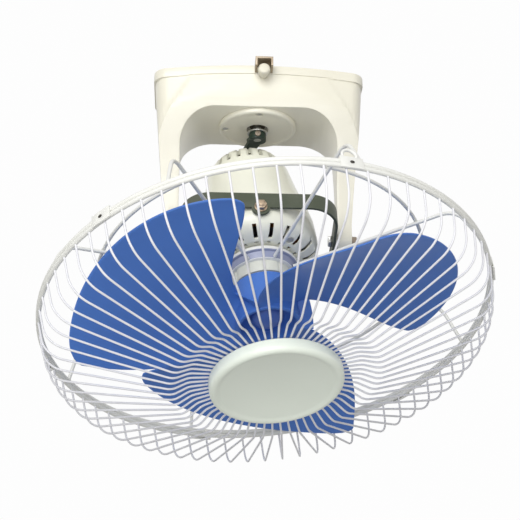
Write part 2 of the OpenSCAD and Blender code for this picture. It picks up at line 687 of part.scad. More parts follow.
module motor_front_cover() color(cream) in_head() {
  difference() {
    union() {
      difference() {
        rotate_extrude($fn = 128) polygon(concat([[0, split_z - seat]], front_outline(0)));
        rotate_extrude($fn = 128) polygon(concat([[0, split_z + 1], [motor_r - 0.5 - cover_wall, split_z + 1]],
          front_outline(cover_wall)));
        slot_row(cover_slots, 43, 57, 4, front_face_z - 1, -20.5, slot_turn);
        slot_row(cover_slots, 36, 39.5, 4, front_face_z - 1, -20.5, slot_turn);
      }
      for (a = cover_screw_angles) rotate([0, 0, a]) translate([cover_screw_r, 0, screw_seat_z])
        cylinder(d = 11, h = 9, $fn = 48);
      // bosses on the tilt axis
      on_tilt_axis(boss_face - 9) cylinder(d = boss_d, h = 9, $fn = 64);
      translate([0, 0, neck_end]) cylinder(r = neck_r, h = front_face_z - neck_end + 12, $fn = 96);
    }
    on_tilt_axis(boss_face - 10) cylinder(d = head_screw_d + 2 * bore_fit, h = 12, $fn = 64);
    // bore for the front bearing and the shaft
    translate([0, 0, neck_end - 1]) cylinder(r = bearing_r + bore_fit, h = 60, $fn = 96);
    for (a = cover_screw_angles) rotate([0, 0, a]) translate([cover_screw_r, 0, front_face_z - 1])
      cylinder(d = cover_screw_d + 2 * bore_fit, h = 20, $fn = 32);
    for (a = cover_screw_angles) rotate([0, 0, a]) translate([cover_screw_r, 0, screw_seat_z - 5])
      cylinder(d = 7.8, h = 5, $fn = 48);
  }
}

module cover_screws() color("#c3c3be") in_head() {
  low = screw_seat_z - seat;
  for (a = cover_screw_angles) rotate([0, 0, a]) translate([cover_screw_r, 0, low]) {
    cylinder(d = cover_screw_d, h = stack_z + stack_h + 2.6 - low, $fn = 32);
    translate([0, 0, -2.2]) cylinder(d = 7.4, h = 2.3, $fn = 48);
  }
}

module stator_core() color("#77797c") in_head() translate([0, 0, stack_z]) difference() {
  cylinder(r = stack_r, h = stack_h, $fn = 96);
  translate([0, 0, -1]) cylinder(r = rotor_r + 0.5, h = stack_h + 2, $fn = 96);
  for (a = cover_screw_angles) rotate([0, 0, a]) translate([cover_screw_r, 0, -1])
    cylinder(d = cover_screw_d + 2 * bore_fit, h = stack_h + 2, $fn = 32);
}

rotor_r = 26;
wind_w = 12;
wind_h = 11;
module stator_windings() color("#b0642c") in_head() {
  for (z = [stack_z - wind_h - seat, stack_z + stack_h + seat]) translate([0, 0, z]) rotate_extrude($fn = 96)
    translate([(rotor_r + stack_r) / 2 - 2, wind_h / 2]) round_rect(wind_w, wind_h, 4);
}

module rear_bearing() color("#b08a4c") in_head() translate([0, 0, crown_z - 23])
  ring(bearing_r, shaft_d / 2 + bore_fit, 12);
module front_bearing() color("#b08a4c") in_head() translate([0, 0, neck_end + 4])
  ring(bearing_r, shaft_d / 2 + bore_fit, 14);

module tail_pin() color("#6e6f6c") in_head() {
  // pressed plate on the crown with the pin that the crank leads
  translate([0, 0, crown_z + seat]) cylinder(r = 15, h = 2, $fn = 96);
  intersection() {
    translate([0, 0, crown_z + 2]) cylinder(d = tail_d, h = tail_reach, $fn = 64);
    sphere(tail_reach, $fn = 180);
  }
}

shaft_end = hub_z - 33;
module rotor_core() color("#8f9193") in_head() translate([0, 0, stack_z + 0.5]) difference() {
  cylinder(r = rotor_r, h = stack_h - 1, $fn = 96);
  translate([0, 0, -1]) cylinder(d = shaft_d + 2 * bore_fit, h = stack_h + 2, $fn = 64);
}
module motor_shaft() color("#cfd0d0") in_head() difference() {
  translate([0, 0, shaft_end]) cylinder(d = shaft_d, h = crown_z - 12 - shaft_end, $fn = 64);
  translate([0, 0, pin_z]) rotate([0, 90, 0]) cylinder(d = pin_d + 2 * bore_fit, h = 20, center = true,
    $fn = 32);
}

// ---- fan -------------------------------------------------------------------------------

pin_d = 3;
pin_z = hub_z - 14;
hub_front = hub_z - hub_h;
web_z = hub_z - 30;               // front of the web that joins the hub's rim to its boss
blades = 3;
root_r = hub_r - 2;               // a blade starts inside the hub's rim

// A blade in polar form, in its own frame: u runs from the root to the tip line and v from the
// leading to the trailing edge. The tip line is longest near the leading corner.
function reach(r, outer) = max(0, min(1, (r - hub_r) / (outer * blade_r - hub_r)));
function lead_angle(r) = 248 + 51.4 * (1 - pow(1 - reach(r, 1), 1.38));
function trail_angle(r) = 340 + 40 * (1 - pow(1 - reach(r, 0.84), 1.84));
function lead_z(r) = hub_z - 42.2 - 29 * sin(90 * pow(reach(r, 1), 1.5));
function trail_z(r) = hub_z - 20.5 - 3.1 * sin(180 * reach(r, 0.84));
function tip_of(v) = blade_r * (1 - (v < 0.12 ? 0.03 * pow(1 - v / 0.12, 2)
  : 0.14 * pow((v - 0.12) / 0.88, 3)));
function blade_point(u, v) =
  let (r = root_r + u * (tip_of(v) - root_r), a = lead_angle(r) + v * (trail_angle(r) - lead_angle(r)),
    z = trail_z(r) + (lead_z(r) - trail_z(r)) * pow(1 - v, 2.04 - 1.2 * (1 - reach(r, 0.5))))
  [r * cos(a), r * sin(a), z];

module blade() {
  nu = 9;
  nv = 12;
  row = nv + 1;
  sheet = (nu + 1) * row;
  skin = [for (s = [-1, 1], i = [0:nu], j = [0:nv]) blade_point(i / nu, j / nv) + [0, 0, s * blade_t / 2]];
  at = function(s, i, j) s * sheet + i * row + j;
  polyhedron(skin, concat(
    [for (i = [0:nu - 1], j = [0:nv - 1]) each [
      [at(0, i, j), at(0, i + 1, j), at(0, i, j + 1)],
      [at(0, i, j + 1), at(0, i + 1, j), at(0, i + 1, j + 1)],
      [at(1, i, j), at(1, i, j + 1), at(1, i + 1, j)],
      [at(1, i, j + 1), at(1, i + 1, j + 1), at(1, i + 1, j)]]],
    [for (i = [0:nu - 1]) each [
      [at(0, i, 0), at(1, i, 0), at(0, i + 1, 0)], [at(1, i, 0), at(1, i + 1, 0), at(0, i + 1, 0)],
      [at(0, i, nv), at(0, i + 1, nv), at(1, i, nv)], [at(1, i, nv), at(0, i + 1, nv), at(1, i + 1, nv)]]],
    [for (j = [0:nv - 1]) each [
      [at(0, 0, j), at(0, 0, j + 1), at(1, 0, j)], [at(1, 0, j), at(0, 0, j + 1), at(1, 0, j + 1)],
      [at(0, nu, j), at(1, nu, j), at(0, nu, j + 1)], [at(1, nu, j), at(1, nu, j + 1), at(0, nu, j + 1)]]]),
    convexity = 8);
}

module fan_blades() color(blue) in_head() {
  difference() {
    union() {
      for (k = [0:blades - 1]) rotate([0, 0, k * 360 / blades]) blade();
      // hub: rim, web and boss
      rotate_extrude($fn = 128) polygon([[hub_r, hub_front + 1.5], [hub_r, hub_z - 1], [hub_r - 1, hub_z],
        [hub_r - 4, hub_z], [hub_r - 4, web_z + 4], [11, web_z + 4], [11, pin_z + 6],
        [shaft_d / 2 + bore_fit, pin_z + 6], [shaft_d / 2 + bore_fit, web_z], [hub_r - 4, web_z],
        [hub_r - 4, hub_front], [hub_r - 1.5, hub_front]]);
    }
    translate([0, 0, pin_z]) rotate([0, 90, 0]) cylinder(d = pin_d + 2 * bore_fit, h = 23, center = true,
      $fn = 32);
  }
}

module blade_cross_pin() color("#cfd0d0") in_head() translate([0, 0, pin_z]) rotate([0, 90, 0])
  cylinder(d = pin_d, h = 20, center = true, $fn = 32);

module blade_spinner() color("#5a6fc0") in_head() difference() {
  // domed nut on the end of the shaft
  translate([0, 0, web_z - seat]) rotate_extrude($fn = 96) polygon(concat([[0, 0], [16, 0]],
    [for (a = [0:10:80]) [16 * cos(a), -2 - 9 * sin(a)]], [[0, -11]]));
  translate([0, 0, web_z + 1]) mirror([0, 0, 1]) cylinder(d = shaft_d + 2 * bore_fit, h = web_z + 1 - shaft_end + fit,
    $fn = 64);
}

// ---- guard -----------------------------------------------------------------------------

ring_wire_r = ring_wire_d / 2;
rear_ring_z = front_ring_z + ring_wire_d + seat;
plate_rim_r = 35.2;
plate_rim_z = -39.5;
plate_rim_t = 2.8;                // radius of the plate's rolled rim
plate_wall_r = plate_rim_r - 1.7; // outside of the dish's wall at its foot
dish_z = neck_end + 14.4;         // flat floor of the dish, above the lock nut
front_wire_r = front_wire_d / 2;
wire_end_r = 58;
wire_end_z = crest_z + 11;
shoulder_z = front_ring_z - 34;   // where the side wall and the face of the cage would meet

module rear_guard_plate() color("#f4f4f0") in_head() difference() {
  union() {
    translate([0, 0, plate_rim_z]) torus(plate_rim_r, plate_rim_t);
    rotate_extrude($fn = 128) polygon([[plate_rim_r, plate_rim_z + 0.6], [plate_rim_r, plate_rim_z - 0.8],
      [plate_wall_r, dish_z - 1.5], [plate_wall_r - 1, dish_z - 2], [neck_r + bore_fit, dish_z - 2],
      [neck_r + bore_fit, dish_z], [plate_wall_r - 1.7, dish_z], [plate_rim_r - 1.2, plate_rim_z + 0.2]]);
  }
}

module guard_lock_nut() color("#e9e7d6") in_head() translate([0, 0, dish_z - 2 - seat]) difference() {
  h = dish_z - 2 - seat - (hub_z + 2);
  translate([0, 0, -h]) cylinder(r = lock_nut_r, h = h, $fn = 96);
  translate([0, 0, -h - 1]) cylinder(r = neck_r + bore_fit, h = h + 2, $fn = 96);
  for (a = [0:30:330]) rotate([0, 0, a]) translate([lock_nut_r + 1.6, 0, -h - 1]) cylinder(r = 2.4, h = h + 2,
    $fn = 24);
}

// A rear spoke leaves the foot of the dish's wall, runs out level and turns forward to the ring.
// The thin ring lies on the rear of the spokes.
spoke_z = dish_z;
spoke_start_r = plate_wall_r + 0.9 + seat;
spoke_turn_r = guard_r - 17;
spoke_turn = -71;                 // angle of the first spoke

module rear_guard_rings() color("#f1f1ea") in_head() {
  translate([0, 0, rear_ring_z]) torus(guard_r, ring_wire_r);
  translate([0, 0, spoke_z + spoke_d + seat]) torus(mid_ring_r, spoke_d / 2, 32);
}

module rear_guard_spokes() color("#ecece6") in_head() {
  start = [spoke_start_r, spoke_z];
  corner = [spoke_turn_r, spoke_z];
  ring = [guard_r, rear_ring_z];
  end = ring + unit(corner - ring) * (ring_wire_r + seat);
  path = concat([start], bend(start, corner, end, 22, 5), [end]);
  for (k = [0:rear_spokes - 1]) rotate([0, 0, spoke_turn + k * 360 / rear_spokes]) swept_wire(path, spoke_d / 2);
}

module front_guard_ring() color("#f1f1ea") in_head() {
  translate([0, 0, front_ring_z]) torus(guard_r, ring_wire_r);
}

module front_guard_wires() color("#f4f4ee") in_head() {
  top = [guard_r, front_ring_z - ring_wire_r - seat];
  corner = [guard_r, shoulder_z];
  crest = [crest_r, crest_z];
  dip = [crest_r - 17, wire_end_z];
  end = [wire_end_r, wire_end_z];
  path = concat([top], bend(top, corner, crest, 20, 5), bend(corner, crest, dip, 5, 1),
    bend(crest, dip, end, 6, 1), [end]);
  for (k = [0:front_wires - 1]) rotate([0, 0, wire_turn + k * 360 / front_wires])
    swept_wire(path, front_wire_r);
}

module front_guard_centre() color("#cfcfc8") in_head() {
  // the plate behind the wire ends, with three posts for the badge
  translate([0, 0, wire_end_z + front_wire_r + seat]) cylinder(r = badge_r - 4, h = 2, $fn = 128);
  for (a = [30:120:270]) rotate([0, 0, a]) translate([badge_r - 17.5, 0, badge_back + seat])
    cylinder(r = 4, h = wire_end_z + front_wire_r + seat - badge_back, $fn = 48);
}

badge_t = 2.6;
badge_h = 13;
badge_front = crest_z - 8;
badge_back = badge_front + badge_t + 2.2;
module guard_badge() color("#dfe4d2") in_head() translate([0, 0, badge_front]) {
  // a shallow cap: flat face, raised round rim, side wall
  rotate_extrude($fn = 144) polygon(concat(
    [[0, 2.2], [badge_r - 11, 2.2], [badge_r - 9, 1.4], [badge_r - 7, 0.4]],
    [for (a = [-90:15:0]) [badge_r - 5 + 5 * cos(a), 5 + 5 * sin(a)]],
    [[badge_r, badge_h], [badge_r - badge_t, badge_h], [badge_r - badge_t, 6],
     [badge_r - 5, 3.4], [badge_r - 9, 2.2 + badge_t], [0, 2.2 + badge_t]]));
}

clip_angle = 5.6;
clip_t = 1.4;
clip_screw_d = 2.6;
clip_turn = -134;
module guard_clips() color("#efefe8") in_head() {
  r0 = guard_r + ring_wire_r + seat;
  lip = guard_r + spoke_d / 2 + fit;      // stays outside the spoke and wire ends
  top = rear_ring_z + ring_wire_r + seat;
  low = front_ring_z - ring_wire_r - seat;
  for (k = [0:ring_clips - 1]) rotate([0, 0, clip_turn + k * 360 / ring_clips - clip_angle / 2]) difference() {
    rotate_extrude(angle = clip_angle, $fn = 180)
      polygon([[r0, low], [lip, low], [lip, low - clip_t], [r0 + clip_t, low - clip_t],
        [r0 + clip_t, top + clip_t], [lip, top + clip_t], [lip, top], [r0, top]]);
    rotate([0, 0, clip_angle / 2]) translate([guard_r, 0, (top + low) / 2]) rotate([0, 90, 0])
      cylinder(d = clip_screw_d + 2 * bore_fit, h = 20, $fn = 32);
  }
}

module guard_clip_screws() color("#4a4a48") in_head() {
  r0 = guard_r + ring_wire_r + clip_t + 2 * seat;
  shank = clip_t + 2 * seat + 0.5;        // it ends between the two rings
  for (k = [0:ring_clips - 1]) rotate([0, 0, clip_turn + k * 360 / ring_clips])
    translate([0, 0, (rear_ring_z + front_ring_z) / 2]) rotate([0, 90, 0]) {
      translate([0, 0, r0 - shank]) cylinder(d = clip_screw_d, h = shank + eps, $fn = 32);
      translate([0, 0, r0]) cylinder(d = 4.2, h = 1.3, $fn = 32);
    }
}

module guard_hanger_loop() color("#f1f1ea") in_head() {
  // wire eye that stands on the rear ring beside one clip
  rotate([0, 0, clip_turn + 360 / ring_clips])
    translate([guard_r, 0, rear_ring_z + ring_wire_r + seat]) rotate([90, 0, 90]) {
      translate([0, 5]) rotate_extrude(angle = 180, $fn = 96) translate([6.5, 0]) circle(1.5, $fn = 32);
      for (x = [-6.5, 6.5]) translate([x, 6, 0]) rotate([90, 0, 0]) cylinder(r = 1.4, h = 6, $fn = 32);
    }
}

ceiling_plate();
cable_grommet();
canopy_housing();
canopy_thumbscrew();
terminal_block();
fan_capacitor();
gearbox_case();
gearbox_cover();
gearbox_screws();
orbit_motor();
orbit_pinion();
crank_gear();
crank_shaft();
crank_bush();
crank_arm();
crank_screw();
crank_washer();
arm_pivot_bolts();
arm_pivot_nuts();
arm_pivot_washers();
gimbal_ring();
head_pivot_screws();
head_pivot_washers();
motor_rear_cover();
motor_front_cover();
cover_screws();
tail_pin();
stator_core();
stator_windings();
rear_bearing();
front_bearing();
rotor_core();
motor_shaft();
rear_guard_plate();
rear_guard_rings();
rear_guard_spokes();
guard_lock_nut();
fan_blades();
blade_cross_pin();
blade_spinner();
front_guard_ring();
front_guard_wires();
front_guard_centre();
guard_badge();
guard_clips();
guard_clip_screws();
guard_hanger_loop();
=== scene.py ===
import bpy, bmesh, math
from mathutils import Matrix, Vector


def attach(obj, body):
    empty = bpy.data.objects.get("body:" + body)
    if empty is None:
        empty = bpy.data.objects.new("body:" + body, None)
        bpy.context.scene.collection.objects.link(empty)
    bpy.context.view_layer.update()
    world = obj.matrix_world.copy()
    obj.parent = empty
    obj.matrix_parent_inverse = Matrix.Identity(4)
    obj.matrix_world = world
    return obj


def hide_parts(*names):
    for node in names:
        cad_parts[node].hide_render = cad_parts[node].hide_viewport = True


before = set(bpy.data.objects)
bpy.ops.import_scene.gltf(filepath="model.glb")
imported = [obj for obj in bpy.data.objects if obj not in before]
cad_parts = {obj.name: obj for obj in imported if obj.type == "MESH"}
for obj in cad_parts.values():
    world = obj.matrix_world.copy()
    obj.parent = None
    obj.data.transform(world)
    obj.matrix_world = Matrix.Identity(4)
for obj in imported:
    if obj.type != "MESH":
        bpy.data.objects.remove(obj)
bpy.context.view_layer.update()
scene = bpy.context.scene
scene.view_settings.view_transform = "Standard"

# --- Camera ---------------------------------------------------------------------------
# The photograph looks up at the fan from in front and below, from about 1.35 m away.
# The pivots of the gimbal, 173 mm under the ceiling, sit a little above its middle.
pivots = Vector((0, 0, -0.173))
eye = bpy.data.cameras.new("eye")
eye.lens, eye.sensor_width = 91.8, 36
eye.shift_x, eye.shift_y = 0.0050, -0.0385
eye.clip_start = 0.05
camera = bpy.data.objects.new("camera", eye)
scene.collection.objects.link(camera)
camera.location = (-0.0648, -1.2373, -0.6989)
camera.rotation_euler = (pivots - camera.location).to_track_quat("-Z", "Y").to_euler()
scene.camera = camera

# --- Studio ---------------------------------------------------------------------------
# A pale floor well below the fan, a white surround and three soft lamps: a broad one high
# in front on the left, a faint one on the right, and a dimmer one low in front.
floor_half, floor_z = 4, -0.95
floor_mesh = bpy.data.meshes.new("studio_floor")
corners = [(x * floor_half, y * floor_half, floor_z) for x, y in ((-1, -1), (1, -1), (1, 1), (-1, 1))]
floor_mesh.from_pydata(corners, [], [(0, 1, 2, 3)])
floor = bpy.data.objects.new("studio_floor", floor_mesh)
scene.collection.objects.link(floor)
pale = bpy.data.materials.new("pale_floor")
pale.use_nodes = True
pale.node_tree.nodes["Principled BSDF"].inputs["Base Color"].default_value = (0.82, 0.82, 0.81, 1)
pale.node_tree.nodes["Principled BSDF"].inputs["Roughness"].default_value = 0.9
floor_mesh.materials.append(pale)

surround = bpy.data.worlds.new("white_surround")
scene.world = surround
surround.use_nodes = True
sky = surround.node_tree
sky.nodes.clear()
path = sky.nodes.new("ShaderNodeLightPath")
seen = sky.nodes.new("ShaderNodeMath"); seen.operation = "MAXIMUM"
seen_through = sky.nodes.new("ShaderNodeMath"); seen_through.operation = "MAXIMUM"
lit = sky.nodes.new("ShaderNodeBackground")
lit.inputs["Color"].default_value = (1.0, 0.995, 0.98, 1)
lit.inputs["Strength"].default_value = 0.32
white = sky.nodes.new("ShaderNodeBackground")
white.inputs["Color"].default_value = (0.985, 0.985, 0.985, 1)
white.inputs["Strength"].default_value = 1.0
blend_sky = sky.nodes.new("ShaderNodeMixShader")
out_sky = sky.nodes.new("ShaderNodeOutputWorld")
sky.links.new(path.outputs["Is Camera Ray"], seen.inputs[0])
sky.links.new(path.outputs["Is Glossy Ray"], seen.inputs[1])
sky.links.new(seen.outputs[0], seen_through.inputs[0])
sky.links.new(path.outputs["Is Transmission Ray"], seen_through.inputs[1])
sky.links.new(seen_through.outputs[0], blend_sky.inputs["Fac"])
sky.links.new(lit.outputs[0], blend_sky.inputs[1])
sky.links.new(white.outputs[0], blend_sky.inputs[2])
sky.links.new(blend_sky.outputs[0], out_sky.inputs["Surface"])

for name, place, size, watts in (("lamp_front", (-0.6, -2.2, 0.55), 1.5, 34),
                                 ("lamp_right", (1.9, -1.2, 0.1), 1.2, 1.0),
                                 ("lamp_low", (-0.2, -1.9, -0.80), 1.0, 13)):
    lamp = bpy.data.lights.new(name, "AREA")
    lamp.energy, lamp.size = watts, size
    lamp_object = bpy.data.objects.new(name, lamp)
    lamp_object.location = place
    lamp_object.rotation_euler = (pivots - Vector(place)).to_track_quat("-Z", "Y").to_euler()
    scene.collection.objects.link(lamp_object)


# --- Canopy ---------------------------------------------------------------------------
# One injection moulding in cream ABS, with a bead round the edge that meets the ceiling
# and two hollow arms that end in round pivot eyes. Its long walls are bowed and its edges rounded.
def socket(tree, name, kind, way="INPUT", value=None):
    """Adds a named input or output to a node group."""
    made = tree.interface.new_socket(name=name, in_out=way, socket_type=kind)
    if value is not None:
        made.default_value = value


def surface_group(name):
    """Shader group: a faint cloudy change of colour, a fine grain for the bump, and dust on top faces."""
    tree = bpy.data.node_groups.new(name, "ShaderNodeTree")
    socket(tree, "Colour", "NodeSocketColor", value=(0.8, 0.8, 0.8, 1))
    socket(tree, "Cloud Colour", "NodeSocketColor", value=(0.7, 0.7, 0.7, 1))
    socket(tree, "Cloud Scale", "NodeSocketFloat", value=18.0)
    socket(tree, "Cloud Amount", "NodeSocketFloat", value=0.3)
    socket(tree, "Grain Scale", "NodeSocketFloat", value=900.0)
    socket(tree, "Dust", "NodeSocketFloat", value=0.2)
    socket(tree, "Roughness", "NodeSocketFloat", value=0.3)
    socket(tree, "Roughness Spread", "NodeSocketFloat", value=0.08)
    socket(tree, "Colour", "NodeSocketColor", "OUTPUT")
    socket(tree, "Roughness", "NodeSocketFloat", "OUTPUT")
    socket(tree, "Height", "NodeSocketFloat", "OUTPUT")
    n, l = tree.nodes, tree.links
    gin, gout = n.new("NodeGroupInput"), n.new("NodeGroupOutput")
    place = n.new("ShaderNodeTexCoord")
    cloud = n.new("ShaderNodeTexNoise"); cloud.inputs["Detail"].default_value = 4
    l.new(place.outputs["Object"], cloud.inputs["Vector"])
    l.new(gin.outputs["Cloud Scale"], cloud.inputs["Scale"])
    ramp = n.new("ShaderNodeMapRange")
    ramp.inputs["From Min"].default_value, ramp.inputs["From Max"].default_value = 0.40, 0.66
    l.new(cloud.outputs["Fac"], ramp.inputs["Value"])
    amount = n.new("ShaderNodeMath"); amount.operation = "MULTIPLY"
    l.new(ramp.outputs["Result"], amount.inputs[0]); l.new(gin.outputs["Cloud Amount"], amount.inputs[1])
    tint = n.new("ShaderNodeMix"); tint.data_type = "RGBA"
    l.new(amount.outputs[0], tint.inputs["Factor"])
    l.new(gin.outputs["Colour"], tint.inputs["A"]); l.new(gin.outputs["Cloud Colour"], tint.inputs["B"])
    face = n.new("ShaderNodeNewGeometry")
    split = n.new("ShaderNodeSeparateXYZ")
    l.new(face.outputs["Normal"], split.inputs[0])
    upward = n.new("ShaderNodeMapRange")
    upward.inputs["From Min"].default_value, upward.inputs["From Max"].default_value = 0.35, 1.0
    l.new(split.outputs["Z"], upward.inputs["Value"])
    speck = n.new("ShaderNodeTexNoise")
    speck.inputs["Scale"].default_value, speck.inputs["Detail"].default_value = 160, 6
    l.new(place.outputs["Object"], speck.inputs["Vector"])
    settled = n.new("ShaderNodeMath"); settled.operation = "MULTIPLY"
    l.new(upward.outputs["Result"], settled.inputs[0]); l.new(speck.outputs["Fac"], settled.inputs[1])
    dusty = n.new("ShaderNodeMath"); dusty.operation = "MULTIPLY"
    l.new(settled.outputs[0], dusty.inputs[0]); l.new(gin.outputs["Dust"], dusty.inputs[1])
    dust = n.new("ShaderNodeMix"); dust.data_type = "RGBA"
    dust.inputs["B"].default_value = (0.42, 0.39, 0.34, 1)
    l.new(dusty.outputs[0], dust.inputs["Factor"]); l.new(tint.outputs["Result"], dust.inputs["A"])
    l.new(dust.outputs["Result"], gout.inputs["Colour"])
    grain = n.new("ShaderNodeTexNoise"); grain.inputs["Detail"].default_value = 3
    l.new(place.outputs["Object"], grain.inputs["Vector"])
    l.new(gin.outputs["Grain Scale"], grain.inputs["Scale"])
    l.new(grain.outputs["Fac"], gout.inputs["Height"])
    wander = n.new("ShaderNodeMath"); wander.operation = "MULTIPLY_ADD"
    l.new(cloud.outputs["Fac"], wander.inputs[0]); l.new(gin.outputs["Roughness Spread"], wander.inputs[1])
    l.new(gin.outputs["Roughness"], wander.inputs[2])
    rougher = n.new("ShaderNodeMath"); rougher.operation = "MULTIPLY_ADD"; rougher.use_clamp = True
    l.new(dusty.outputs[0], rougher.inputs[0]); rougher.inputs[1].default_value = 0.6
    l.new(wander.outputs[0], rougher.inputs[2])
    l.new(rougher.outputs[0], gout.inputs["Roughness"])
    return tree


surface = surface_group("grained_surface")


def finish(name, colour, cloud, *, rough=0.3, spread=0.1, cloud_scale=18, cloud_amount=0.35, grain=900,
           bump=0.05, depth=0.00015, dust=0.25, metal=0.0, coat=0.0, specular=0.5):
    """A Principled material whose colour, roughness and bump come from the grained surface group."""
    material = bpy.data.materials.new(name)
    material.use_nodes = True
    n, l = material.node_tree.nodes, material.node_tree.links
    skin = n["Principled BSDF"]
    group = n.new("ShaderNodeGroup"); group.node_tree = surface
    group.inputs["Colour"].default_value = (*colour, 1)
    group.inputs["Cloud Colour"].default_value = (*cloud, 1)
    for label, value in (("Cloud Scale", cloud_scale), ("Cloud Amount", cloud_amount),
                         ("Grain Scale", grain), ("Dust", dust), ("Roughness", rough),
                         ("Roughness Spread", spread)):
        group.inputs[label].default_value = value
    lumps = n.new("ShaderNodeBump")
    lumps.inputs["Strength"].default_value, lumps.inputs["Distance"].default_value = bump, depth
    l.new(group.outputs["Colour"], skin.inputs["Base Color"])
    l.new(group.outputs["Roughness"], skin.inputs["Roughness"])
    l.new(group.outputs["Height"], lumps.inputs["Height"])
    l.new(lumps.outputs["Normal"], skin.inputs["Normal"])
    skin.inputs["Metallic"].default_value = metal
    skin.inputs["Coat Weight"].default_value = coat
    skin.inputs["Specular IOR Level"].default_value = specular
    return material


def softened(node, width, *, angle=32, segments=3, flat=1.0, reshape=None, cut=None):
    """A copy of a CAD node with its flat triangles joined and its edges rounded over to a width in metres.

    The reshape function moves its points and the cut object is taken out of it, both before the rounding.
    """
    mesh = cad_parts[node].data.copy()
    work = bmesh.new()
    work.from_mesh(mesh)
    bmesh.ops.remove_doubles(work, verts=work.verts, dist=2e-6)
    bmesh.ops.dissolve_limit(work, angle_limit=math.radians(flat), verts=work.verts, edges=work.edges)
    if reshape:
        reshape(work)
    work.to_mesh(mesh)
    work.free()
    mesh.materials.clear()
    piece = bpy.data.objects.new(node + "_body", mesh)
    scene.collection.objects.link(piece)
    if cut:
        holes = piece.modifiers.new("holes", "BOOLEAN")
        holes.operation, holes.object = "DIFFERENCE", cut
    round_over = piece.modifiers.new("round_over", "BEVEL")
    round_over.width, round_over.segments, round_over.limit_method = width, segments, "ANGLE"
    round_over.angle_limit = math.radians(angle)
    round_over.use_clamp_overlap = True
    return settle(piece)


def settle(piece, angle=38):
    """Turns a piece's modifiers into plain mesh and smooths everything flatter than the angle."""
    bpy.context.view_layer.update()
    done = bpy.data.meshes.new_from_object(piece.evaluated_get(bpy.context.evaluated_depsgraph_get()))
    piece.modifiers.clear()
    piece.data = done
    done.polygons.foreach_set("use_smooth", [True] * len(done.polygons))
    done.set_sharp_from_angle(angle=math.radians(angle))
    return piece


def dress(piece, material, body, *nodes, slot=None):
    """Gives a new piece its material, lets it ride on its body and stand for its CAD nodes."""
    piece.data.materials.clear()
    piece.data.materials.append(material)
    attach(piece, body)
    if nodes:
        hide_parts(*nodes)
    return piece


def coat_node(node, material):
    """Gives a CAD node that keeps its own shape a better material."""
    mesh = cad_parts[node].data
    mesh.materials.clear()
    mesh.materials.append(material)


def side_depth(down):
    """Half depth in mm of the canopy's side, a cubic curve, at a distance under the ceiling."""
    points_down = (9, 55, 80, 140)
    at_rim, at_arm = 51.2, 12.5
    low, high = 0.0, 1.0
    for _ in range(24):
        t = (low + high) / 2
        k, m, n, l = (1 - t) ** 3, 3 * t * (1 - t) ** 2, 3 * t * t * (1 - t), t ** 3
        reached = k * points_down[0] + m * points_down[1] + n * points_down[2] + l * points_down[3]
        low, high = (t, high) if reached < down else (low, t)
    return (k + m) * at_rim + (n + l) * at_arm


def bow(work):
    """Bows the canopy's long walls by 13 mm over the width and tightens its corners from 42 mm to 12 mm."""
    half_w, half_d, rim_h, curve_end = 109.0, 52, 9, 140
    old_corner, corner, sag, lean = 42, 12, 13, 0.085
    old_start, start = half_w - old_corner, half_w - corner
    # the walls are cut where they bend, closer together round the corners
    arc = (start + corner * math.sin(math.radians(a)) for a in range(0, 90, 8))
    cuts = sorted({*range(0, 96, 6), *arc, 99, 108.6})
    planes = [((side * x / 1000, 0, 0), (1, 0, 0)) for x in cuts for side in (-1, 1)]
    planes += [((0, 0, -z / 1000), (0, 0, 1)) for z in range(16, curve_end, 6)]
    for place, normal in planes:
        bmesh.ops.bisect_plane(work, geom=[*work.verts, *work.edges, *work.faces], dist=1e-6,
                               plane_co=place, plane_no=normal)
    for vertex in work.verts:
        x, down = min(half_w, abs(vertex.co.x) * 1000), -vertex.co.z * 1000
        before = half_d
        if x >= old_start:
            before = half_d - old_corner + math.sqrt(old_corner ** 2 - (x - old_start) ** 2)
        edge = min(half_w, x + max(0.0, down - rim_h) * lean)
        round_off = corner - math.sqrt(corner ** 2 - (edge - start) ** 2) if edge > start else 0
        after = half_d - sag * (x / half_w) ** 2 - round_off
        side = half_d if down < rim_h else side_depth(min(139.9, down))
        vertex.co.y *= min(after, side) / min(before, side)


cream = finish("cream_abs", (0.86, 0.83, 0.70), (0.80, 0.76, 0.62), rough=0.26, grain=1100, bump=0.08,
               coat=0.15)
dress(softened("canopy_housing", 0.0016, reshape=bow), cream, "canopy", "canopy_housing",
      slot="canopy_cream")

# --- Ceiling plate, grommet and knob ----------------------------------------------------
# A folded strip of zinc-plated steel is screwed to the ceiling first. The canopy hooks over
# its rear ears and a cream plastic thumbscrew through the front wall holds it up.
zinc = finish("passivated_steel", (0.40, 0.34, 0.26), (0.26, 0.20, 0.14), rough=0.34, spread=0.3,
              cloud_scale=60, cloud_amount=0.7, grain=500, bump=0.12, metal=1.0, dust=0.4)
dress(softened("ceiling_plate", 0.0003, reshape=bow), zinc, "canopy", "ceiling_plate", slot="plate_steel")
rubber = finish("grommet_rubber", (0.03, 0.03, 0.03), (0.05, 0.05, 0.05), rough=0.7, grain=700, bump=0.3)
dress(softened("cable_grommet", 0.0004), rubber, "canopy", "cable_grommet", slot="rubber_black")
knob_cream = finish("knob_cream", (0.80, 0.76, 0.62), (0.72, 0.67, 0.52), rough=0.32, grain=1300, bump=0.08)
dress(softened("canopy_thumbscrew", 0.0003, angle=40, segments=2), knob_cream, "canopy",
      "canopy_thumbscrew", slot="canopy_cream")

